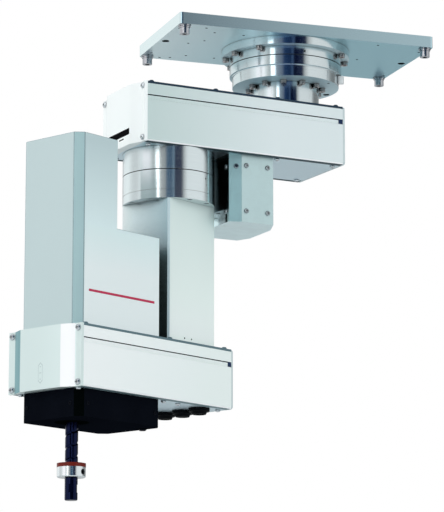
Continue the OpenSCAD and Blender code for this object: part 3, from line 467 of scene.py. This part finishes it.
# ------------------------------------------------------------------ CAD nodes: finish and material
SKIN = {
    "base_plate": 0.0006, "j1_housing": 0.0004, "j1_output_ring": 0.0004, "j1_hub": 0.0003, "j1_index_block": 0.0005,
    "arm1_top_plate": 0.0004, "arm1_bottom_plate": 0.0004, "arm1_near_panel": 0.0003, "arm1_far_panel": 0.0003,
    "arm1_outer_cap": 0.0006, "arm1_inner_cap": 0.0006, "motor_cover": 0.0008,
    "j2_housing": 0.0004, "j2_output_ring": 0.0003, "j2_column_flange": 0.0003, "column": 0.0004,
    "arm2_top_plate": 0.0004, "arm2_bottom_plate": 0.0004, "arm2_near_panel": 0.0003, "arm2_far_panel": 0.0003,
    "arm2_outer_cap": 0.0006, "arm2_inner_cap": 0.0006, "z_axis_cover": 0.0007, "lower_cover": 0.0016,
    "stopper_collar": 0.0003, "mounting_screws": 0.0005, "j1_flange_screws": 0.0004, "j1_hub_screws": 0.0004,
    "arm1_screws": 0.0003, "arm2_screws": 0.0003, "motor_cover_screws": 0.0003, "lower_cover_screws": 0.0002, "collar_screw": 0.0002,
}
for name, o in NODES.items():
    mt = mat_for(name)
    for s in o.material_slots:
        s.material = mt
    if not o.material_slots:
        o.data.materials.append(mt)
FINISHED = {}
for name, w in SKIN.items():
    FINISHED[name] = skin(name, w, angle=15 if name == "motor_cover" else 28)

def recolour_faces(node, mat, frame_m, test):
    """Give the faces whose normal, in the given frame, passes the test another material: another finish, or a lit or
    shaded copy that paints light and shade by face direction.
    """
    me = FINISHED[node].data
    me.materials.append(mat)
    k = len(me.materials) - 1
    inv = frame_m.to_3x3().transposed()
    for p in me.polygons:
        if test(inv @ p.normal):
            p.material_index = k
recolour_faces("base_plate", MAT["machined_edge"], WORLD, lambda n: abs(n.z) < 0.4 and n.y > -0.7)
# painted shade: the plate's side faces turned towards the camera get a darker, bluer copy of the metal
recolour_faces("base_plate", MAT["machined_edge_near_shaded"], WORLD, lambda n: abs(n.z) < 0.4 and n.y <= -0.7)
# painted dark reflection: the top plates' side faces get a dark copy
recolour_faces("arm1_top_plate", MAT["top_edge_1"], ARM1, lambda n: abs(n.z) < 0.5)
recolour_faces("arm2_top_plate", MAT["top_edge_2"], ARM2, lambda n: abs(n.z) < 0.5)
# painted light and shade on the column: a lighter copy that lightens downwards on the near face, a ramp from light to
# dark along x on the left face, a darker copy on the chamfer
recolour_faces("column", MAT["anodised_col_near"], ARM2, lambda n: n.y > 0.9)
recolour_faces("column", MAT["anodised_col_left"], ARM2, lambda n: n.x > 0.95)
recolour_faces("column", MAT["anodised_col_edge"], ARM2, lambda n: n.x > 0.3 and n.y > 0.3)
# painted shade on the far chamfer of the second arm's outer cap, painted highlight on its near chamfer
recolour_faces("arm2_outer_cap", MAT["cap_shade"], ARM2, lambda n: n.x > 0.7 and n.y < -0.3 and abs(n.z) < 0.3)
recolour_faces("arm2_outer_cap", MAT["cap_painted_highlight"], ARM2, lambda n: n.x > 0.7 and n.y > 0.3 and abs(n.z) < 0.3)
# painted light and shade on the motor cover: a dark glossy copy that lightens downwards on the +x face, a lighter copy
# underneath
recolour_faces("motor_cover", MAT["zinc_painted_shade"], ARM1, lambda n: n.x > 0.95)
recolour_faces("motor_cover", MAT["zinc_under"], ARM1, lambda n: n.z < -0.95)
# painted light: the tall cover's near face gets a copy that lightens downwards
recolour_faces("z_axis_cover", MAT["sheet_near"], ARM2, lambda n: n.y > 0.95)
# painted shade: a darker copy on the motor cover's narrow face
recolour_faces("motor_cover", MAT["zinc_narrow"], ARM1, lambda n: 0.2 < n.x < 0.6 and n.y > 0.7)
# painted light: a lighter copy on the tall cover's near chamfer
recolour_faces("z_axis_cover", MAT["sheet_fold"], ARM2, lambda n: n.x > 0.5 and n.y > 0.5)

def recolour_faces_at(node, mat, frame_m, test):
    """The same by normal and place: the test gets the normal and the face centre in mm, both in the given frame."""
    me = FINISHED[node].data
    me.materials.append(mat)
    k = len(me.materials) - 1
    inv = frame_m.inverted()
    rot = inv.to_3x3()
    for p in me.polygons:
        if test(rot @ p.normal, (inv @ p.center) / MM):
            p.material_index = k

def off_flat(n, flats, deg=9.0):
    """True where a normal is away from every flat direction, so the face belongs to a rounded edge."""
    lim = math.cos(math.radians(deg))
    return all(n.dot(Vector(f).normalized()) < lim for f in flats)

BOX6 = [(1, 0, 0), (-1, 0, 0), (0, 1, 0), (0, -1, 0), (0, 0, 1), (0, 0, -1)]
# painted shade: the lower cover's rounded vertical corners get a deeper black
recolour_faces_at("lower_cover", MAT["black_deep_and_corner_shade"], ARM2, lambda n, c: abs(n.x) > 0.4 and abs(n.y) > 0.4 and abs(n.z) < 0.4)
# painted shade: the plate's underside gets a copy that turns darker and bluer from x = -0.2 m towards x = 0
recolour_faces_at("base_plate", MAT["machined_under"], WORLD, lambda n, c: n.z < -0.6)
# painted shade: the walls of the holes inside the plate are dark
recolour_faces_at("base_plate", MAT["bore_painted_shade"], WORLD, lambda n, c: abs(n.z) < 0.5 and abs(c.x) < 174 and abs(c.y) < 84)
# painted shade: the downward faces of the joint-1 housing and output ring get a darker copy of the metal
for nm in ("j1_housing", "j1_output_ring"):
    recolour_faces_at(nm, MAT["turned_under"], WORLD, lambda n, c: n.z < -0.9)
# painted shade: dark walls in two holes of the output ring
recolour_faces_at("j1_output_ring", MAT["bore_painted_shade"], ARM1, lambda n, c: (math.hypot(c.x + 63.6, c.y + 0.8) < 4.6 or math.hypot(c.x + 36.2, c.y - 52) < 1.9) and c.z > -66.0 + 0.2)
for nm, fr, g, under in (("arm1", ARM1, -116.6, "under_edge_1"), ("arm2", ARM2, -450.5, "under_edge_2")):
    for side in ("_near_panel", "_far_panel"):
        low = min((v.co.z for v in FINISHED[nm + side].data.vertices)) / MM
        # painted highlight: white along the rounded lower edge of the panels
        recolour_faces_at(nm + side, MAT["edge_painted_highlight"], fr, lambda n, c: -0.92 < n.z < -0.35 and c.z < low + 3.2 and abs(c.y) > 56)
        # painted shade: the panels' bottom faces get a dark copy
        recolour_faces_at(nm + side, MAT[under], fr, lambda n, c: n.z < -0.9 and c.z < low + 1.0)
        # painted shade inside the slot
        recolour_faces_at(nm + side, MAT["slot_painted_shade"], fr, lambda n, c: g - 0.75 < c.z < g + 0.75 and abs(n.x) < 0.5 and 50 < abs(c.y) < 62.62)
    top = max((v.co.z for v in FINISHED[nm + "_top_plate"].data.vertices)) / MM
    # the same painted dark reflection on the screw faces level with the top of the top plate
    recolour_faces_at(nm + "_screws", MAT["top_edge_1" if nm == "arm1" else "top_edge_2"], fr, lambda n, c: c.z > top - 0.2)
    # painted shade: the inner caps' faces turned to +y, up and down get a greyer copy
    recolour_faces_at(nm + "_inner_cap", MAT["cap_rim"], fr, lambda n, c: n.x > -0.9 and (n.y > 0.5 or n.z > 0.3 or n.z < -0.3))
# painted dark reflection on the tall cover's rounded folds
recolour_faces_at("z_axis_cover", MAT["fold_painted_dark"], ARM2, lambda n, c: off_flat(n, BOX6 + [(1, 1, 0), (1, -1, 0)]) and (c.x > 190 or n.z > 0.2))
MC_FLATS = BOX6 + [(5.6, 15.8, 0), (-31.6, 13, 0), (-59, 1.5, 0), (-20, -9, 0), (10, -12.5, 0)]
# painted dark reflection on the motor cover's folds
recolour_faces_at("motor_cover", MAT["fold_painted_grey"], ARM1, lambda n, c: off_flat(n, MC_FLATS, 2.5) and n.y > -0.2)
# painted highlight: white on the lower folds of the motor cover
recolour_faces_at("motor_cover", MAT["edge_painted_highlight"], ARM1, lambda n, c: off_flat(n, MC_FLATS, 6) and n.y > 0.2 and -0.6 < n.z < -0.2)
for nm in ("arm1_slot_plugs", "arm2_slot_plugs"):
    for s in NODES[nm].material_slots:
        s.material = MAT["slot_navy"]

# ------------------------------------------------------------------ arm 1 and arm 2: details on the covers
def mm(*v):
    return Vector(v) * MM
K_HW, K_STRIPE = 51.3, -389.0
# coloured line along the tall cover
stripe = slab([(x * MM, z * MM) for x, z in ((82.2, -1.5), (82.2, 1.5), (200.4, 1.5), (200.4, -1.5))], 0.00012,
              plane_mtx(ARM2, mm(0, K_HW, K_STRIPE), (1, 0, 0), (0, 0, 1)) @ Matrix.Scale(-1, 4, (0, 0, 1)))
bmesh.ops.bevel(stripe, geom=[e for e in stripe.edges if abs(e.verts[0].co.z - e.verts[1].co.z) > 0.001], offset=0.0002, segments=2, affect="EDGES")
finish_bm(stripe, "cover_stripe", MAT["crimson_ink"], "arm2")

# blank black strip and a small mark under it, on the first arm's outer cap
CAP1, CAP2 = 248.5 * MM, 231.6 * MM
strip = slab([(u * MM, v * MM) for u, v in round_rect(59.5, 8.2, 0.6)], 0.00015, plane_mtx(ARM1, (CAP1, 3.6 * MM, -0.1598), (0, 1, 0), (0, 0, 1)))
finish_bm(strip, "cap_strip", MAT["label_film"], "arm1")
mark = slab([(u * MM, v * MM) for u, v in round_rect(13.0, 1.6, 0.4)], 0.00012, plane_mtx(ARM1, (CAP1, 10.5 * MM, -0.1672), (0, 1, 0), (0, 0, 1)))
finish_bm(mark, "cap_mark", MAT["label_film"], "arm1")

# faint outlined tag on the second arm's outer cap
def outline_frame(pts, width, thick, mtx):
    """A closed outline drawn as a thin raised band of the given width."""
    bm = bmesh.new()
    cx = sum(p[0] for p in pts) / len(pts); cy = sum(p[1] for p in pts) / len(pts)
    rows = []
    for k, w in ((1.0, 0), (1.0, thick), (0.0, thick), (0.0, 0)):
        row = []
        for x, y in pts:
            d = math.hypot(x - cx, y - cy)
            f = 1 - (width / d if k == 0.0 else 0)
            row.append(bm.verts.new(mtx @ Vector((cx + (x - cx) * f, cy + (y - cy) * f, w))))
        rows.append(row)
    n = len(pts)
    for a in range(4):
        b = (a + 1) % 4
        for i in range(n):
            j = (i + 1) % n
            bm.faces.new((rows[a][i], rows[a][j], rows[b][j], rows[b][i]))
    return bm
tag = outline_frame([(u * MM, v * MM) for u, v in ((0, 13), (3.6, 9.6), (3.6, -9.6), (0, -13), (-3.6, -9.6), (-3.6, 9.6))], 0.0009, 0.0001,
                    plane_mtx(ARM2, (CAP2, 0.8 * MM, -0.4902), (0, 1, 0), (0, 0, 1)))
finish_bm(tag, "cap_tag", MAT["faint_ink"], "arm2")
for i, (h, w) in enumerate(((7.6, 2.0), (0.0, 3.4), (-7.6, 2.0))):
    bar = slab([(u * MM, v * MM) for u, v in round_rect(w, 0.8, 0.2)], 0.0001, plane_mtx(ARM2, (CAP2, 0.8 * MM, -0.4902 + h * MM), (0, 1, 0), (0, 0, 1)))
    finish_bm(bar, "cap_tag_bar_%d" % i, MAT["faint_ink"], "arm2")

# fine ribs along the recessed band under each side panel's slot
def ribs(name, x0, x1, hw, z0, z1, mat, body, frame_m):
    bm = bmesh.new()
    x = x0
    while x < x1:
        for s in (-1, 1):
            y_in, y_out = s * (hw - 0.6), s * (hw - 0.38)
            v = [bm.verts.new(frame_m @ mm(a, b, c)) for c in (z0, z1) for a, b in
                 ((x, y_in), (x + 1.1, y_in), (x + 0.85, y_out), (x + 0.25, y_out))]
            for f in ((0, 1, 2, 3), (4, 5, 6, 7), (0, 1, 5, 4), (1, 2, 6, 5), (2, 3, 7, 6), (3, 0, 4, 7)):
                bm.faces.new([v[i] for i in f])
        x += 2.2
    finish_bm(bm, name, mat, body, smooth=False)
ribs("arm1_slot_ribs", -45, 234, 62.1, -121.9, -117.9, MAT["anodised_1"], "arm1", ARM1)
ribs("arm2_slot_ribs", -45.5, 217, 62.1, -455.8, -451.8, MAT["anodised_2"], "arm2", ARM2)

# screws down in the counterbores under the second joint's flange
def socket_screw(bm, mtx, r, h, hexr, deep, segs=32):
    """Cap screw head that hangs from z = 0 down to -h, with rounded rim and a hexagon socket."""
    prof = [(r, 0.0), (r, -h + r * 0.12), (r * 0.965, -h + r * 0.035), (r * 0.88, -h)]
    rows = [[bm.verts.new(mtx @ Vector((q * math.cos(2 * math.pi * i / segs), q * math.sin(2 * math.pi * i / segs), z))) for i in range(segs)] for q, z in prof]
    for a, b in zip(rows, rows[1:]):
        for i in range(segs):
            j = (i + 1) % segs
            bm.faces.new((a[i], a[j], b[j], b[i]))
    def hexp(q, z):
        out = []
        for i in range(segs):
            a = 2 * math.pi * i / segs
            k = math.cos(math.pi / 6) / math.cos((a % (math.pi / 3)) - math.pi / 6)
            out.append(bm.verts.new(mtx @ Vector((q * k * math.cos(a), q * k * math.sin(a), z))))
        return out
    lip, low = hexp(hexr, -h), hexp(hexr, -h + deep)
    for a, b in ((rows[-1], lip), (lip, low)):
        for i in range(segs):
            j = (i + 1) % segs
            bm.faces.new((a[i], a[j], b[j], b[i]))
    c = bm.verts.new(mtx @ Vector((0, 0, -h + deep * 1.15)))
    for i in range(segs):
        bm.faces.new((low[i], low[(i + 1) % segs], c))
    bm.faces.new(rows[0][::-1])
bm = bmesh.new()
for k in (0, 90, 180, 270):
    for s in (-17.5, 17.5):
        a = math.radians(k + s)
        socket_screw(bm, ARM2 @ Matrix.Translation((0.054 * math.cos(a), 0.054 * math.sin(a), -0.2392)) @ Matrix.Rotation(a, 4, "Z"), 0.00315, 0.0034, 0.0017, 0.0018)
finish_bm(bm, "column_flange_screws", MAT["black_screw"], "arm2")

# wiper ring round the shaft under the lower cover
E_BOT = -0.5450
ring = lathe([(0.0092, E_BOT + 0.0004), (0.0092, E_BOT - 0.0003), (0.0098, E_BOT - 0.0005), (0.0205, E_BOT - 0.0005), (0.0212, E_BOT - 0.0003), (0.0212, E_BOT + 0.0004)], 72, AT_J4, closed=True)
finish_bm(ring, "shaft_wiper", MAT["black_deep_and_corner_shade"], "arm2")

# ------------------------------------------------------------------ the ball-screw spline shaft
def grooved_shaft():
    """16 mm shaft with a right-hand 16 mm ball groove, three straight spline grooves, a clamping flat and a second small flat."""
    R, LEAD = 8.0, 16.0
    s_top, s_bot, c_bot = -253.0, -640.9, -613.0
    zs = [s_top, s_top - 0.5, s_top - 1.0]
    z = s_top - 9.0
    while z > -436.0:
        zs.append(z); z -= 9.0
    z = -436.0
    while z > -612.0:
        zs.append(z); z -= 0.8
    zs += [-612.6, -613.05, -613.15, -613.55, -613.65, -616, -621.4, -621.5, -624, -626.5, -629, -631.5, -631.6, -636, s_bot + 1.0, s_bot + 0.5, s_bot]
    N = 120
    sp0, ball0 = math.radians(SPLINE0), BALL0
    bm = bmesh.new()
    rows = []
    for z in zs:
        row = []
        amt = min(1.0, max(0.0, (z + 612.5) / 3.0), max(0.0, (-438.0 - z) / 3.0))
        for i in range(N):
            th = 2 * math.pi * i / N
            r = R
            if z > s_top - 1: r = R - 0.8 * (z - (s_top - 1))
            if z < s_bot + 1: r = R - 0.8 * ((s_bot + 1) - z)
            if -613.6 < z < -613.1: r = R - 0.4
            if amt > 0:
                dz = (z - ball0 - LEAD * th / (2 * math.pi)) % LEAD
                dz = min(dz, LEAD - dz) * 0.953
                g = 0.85 * (1 - (dz / 1.7) ** 2) if dz < 1.7 else 0.0
                for k in range(3):
                    d = (th - sp0 - k * 2 * math.pi / 3 + math.pi) % (2 * math.pi) - math.pi
                    w = abs(d) * R
                    if w < 1.5:
                        g = max(g, 0.6 * (1 - (w / 1.5) ** 2))
                r -= g * amt
            if -631.55 < z < -621.45:
                for a0, depth in ((FLAT_A, 0.8), (FLAT_B, 0.55)):
                    d = (th - math.radians(a0) + math.pi) % (2 * math.pi) - math.pi
                    if abs(d) < 1.2:
                        r = min(r, (R - depth) / math.cos(d))
            row.append(bm.verts.new(AT_J4 @ mm(r * math.cos(th), r * math.sin(th), z)))
        rows.append(row)
    for a, b in zip(rows, rows[1:]):
        for i in range(N):
            j = (i + 1) % N
            bm.faces.new((a[i], a[j], b[j], b[i]))
    bm.faces.new(rows[0]); bm.faces.new(rows[-1][::-1])
    return bm
SPLINE0, BALL0, FLAT_A, FLAT_B = 40.0, 0.0, 131.0, 41.0
finish_bm(grooved_shaft(), "z_shaft_finish", MAT["shaft_steel"], "shaft", ("z_shaft",), angle=40)

# ------------------------------------------------------------------ studio
world = bpy.data.worlds.new("studio")
bpy.context.scene.world = world
world.use_nodes = True
t = NT(world.node_tree)
for n in list(t.n):
    t.n.remove(n)
tc = t.n.new("ShaderNodeTexCoord")
sep = t.n.new("ShaderNodeSeparateXYZ")
t.link(tc.outputs["Generated"], sep.inputs[0])
X, Y, Z = sep.outputs
dr = t.math("ADD", t.math("MULTIPLY", X, math.cos(AZ)), t.math("MULTIPLY", Y, -math.sin(AZ)))
db = t.math("ADD", t.math("MULTIPLY", X, -math.sin(AZ)), t.math("MULTIPLY", Y, -math.cos(AZ)))
ang = t.math("ARCTAN2", dr, db)
tt = t.math("ADD", t.math("MULTIPLY", ang, 1 / (2 * math.pi)), 0.5)
def at(deg): return deg / 360 + 0.5
W = lambda v, tint=(0.96, 1.0, 1.01): tuple(min(1.0, v * k) for k in tint)
stops = [(at(-180), W(0.50)), (at(-160), W(0.50)), (at(-152), W(0.90)), (at(-120), W(1.0)), (at(-100), W(0.72)), (at(-85), W(0.72)), (at(-70), W(0.98)), (at(-64), (1.15, 1.12, 1.15)), (at(-48), (1.15, 1.12, 1.15)),
         (at(-44), W(0.88)), (at(-38), W(0.58)), (at(-33), W(0.50)), (at(-31), (2.2, 2.3, 2.3)), (at(-24), (2.2, 2.3, 2.3)), (at(-21), W(0.46)), (at(-8), W(0.34)),
         (at(-3), (0.055, 0.11, 0.18)), (at(10), (0.028, 0.07, 0.135)), (at(12), (0.16, 0.25, 0.33)), (at(15), (0.16, 0.25, 0.33)),
         (at(17), (0.006, 0.012, 0.045)), (at(35), (0.010, 0.018, 0.05)), (at(41), W(0.50)), (at(50), W(0.85)), (at(75), W(0.87)), (at(100), W(0.86)),
         (at(108), W(0.45)), (at(118), W(0.26)), (at(140), W(0.26)), (at(170), W(0.40)), (at(180), W(0.44))]
PEAK = 2.3
stops = [(p, tuple(v / PEAK for v in c)) for p, c in stops]
band = t.ramp(tt, stops)
strong = t.n.new("ShaderNodeMix"); strong.data_type = "RGBA"
strong.inputs["A"].default_value = (0.78 / PEAK, 0.82 / PEAK, 0.84 / PEAK, 1)
# bands fade towards straight up and straight down
absz = t.math("ABSOLUTE", Z)
fade = t.rng(absz, 1.0, 0.0, 0.75, 0.95)
t.link(fade, strong.inputs["Factor"])
t.link(band, strong.inputs["B"])
bg = t.n.new("ShaderNodeBackground"); bg.inputs["Strength"].default_value = PEAK
t.link(strong.outputs["Result"], bg.inputs["Color"])
bgc = t.n.new("ShaderNodeBackground"); bgc.inputs["Color"].default_value = (1, 1, 1, 1)
bgc.inputs["Strength"].default_value = 1.0
lp = t.n.new("ShaderNodeLightPath")
mixs = t.n.new("ShaderNodeMixShader")
t.link(lp.outputs["Is Camera Ray"], mixs.inputs[0])
t.link(bg.outputs[0], mixs.inputs[1])
t.link(bgc.outputs[0], mixs.inputs[2])
out = t.n.new("ShaderNodeOutputWorld")
t.link(mixs.outputs[0], out.inputs["Surface"])

def area(name, loc, target, size, power, col=(1, 1, 1)):
    l = bpy.data.lights.new(name, "AREA")
    l.shape = "RECTANGLE"
    l.size, l.size_y = size
    l.energy = power
    l.color = col
    o = bpy.data.objects.new(name, l)
    bpy.context.scene.collection.objects.link(o)
    d = Vector(target) - Vector(loc)
    o.location = loc
    o.rotation_euler = d.to_track_quat("-Z", "Y").to_euler()
    o.visible_glossy = False
    return o
centre = (-0.12, -0.02, -0.32)
area("key", (-2.2, -2.2, 0.5), centre, (1.2, 2.2), 30, (1.0, 1.0, 1.0))
area("fill", (2.0, -2.35, -0.2), centre, (1.8, 2.4), 25, (0.96, 1.0, 1.0))

# floor
bm = bmesh.new()
bmesh.ops.create_grid(bm, x_segments=8, y_segments=8, size=9)
for v in bm.verts:
    v.co.z = -2.6
me = bpy.data.meshes.new("floor")
bm.to_mesh(me); bm.free()
floor_m = surface("floor_paint", (0.80, 0.83, 0.84), 0.0, 0.6, 0.02, 0.05, 1.5, peel=0.1, peel_scale=60)
me.materials.append(floor_m)
floor_o = bpy.data.objects.new("floor", me)
bpy.context.scene.collection.objects.link(floor_o)
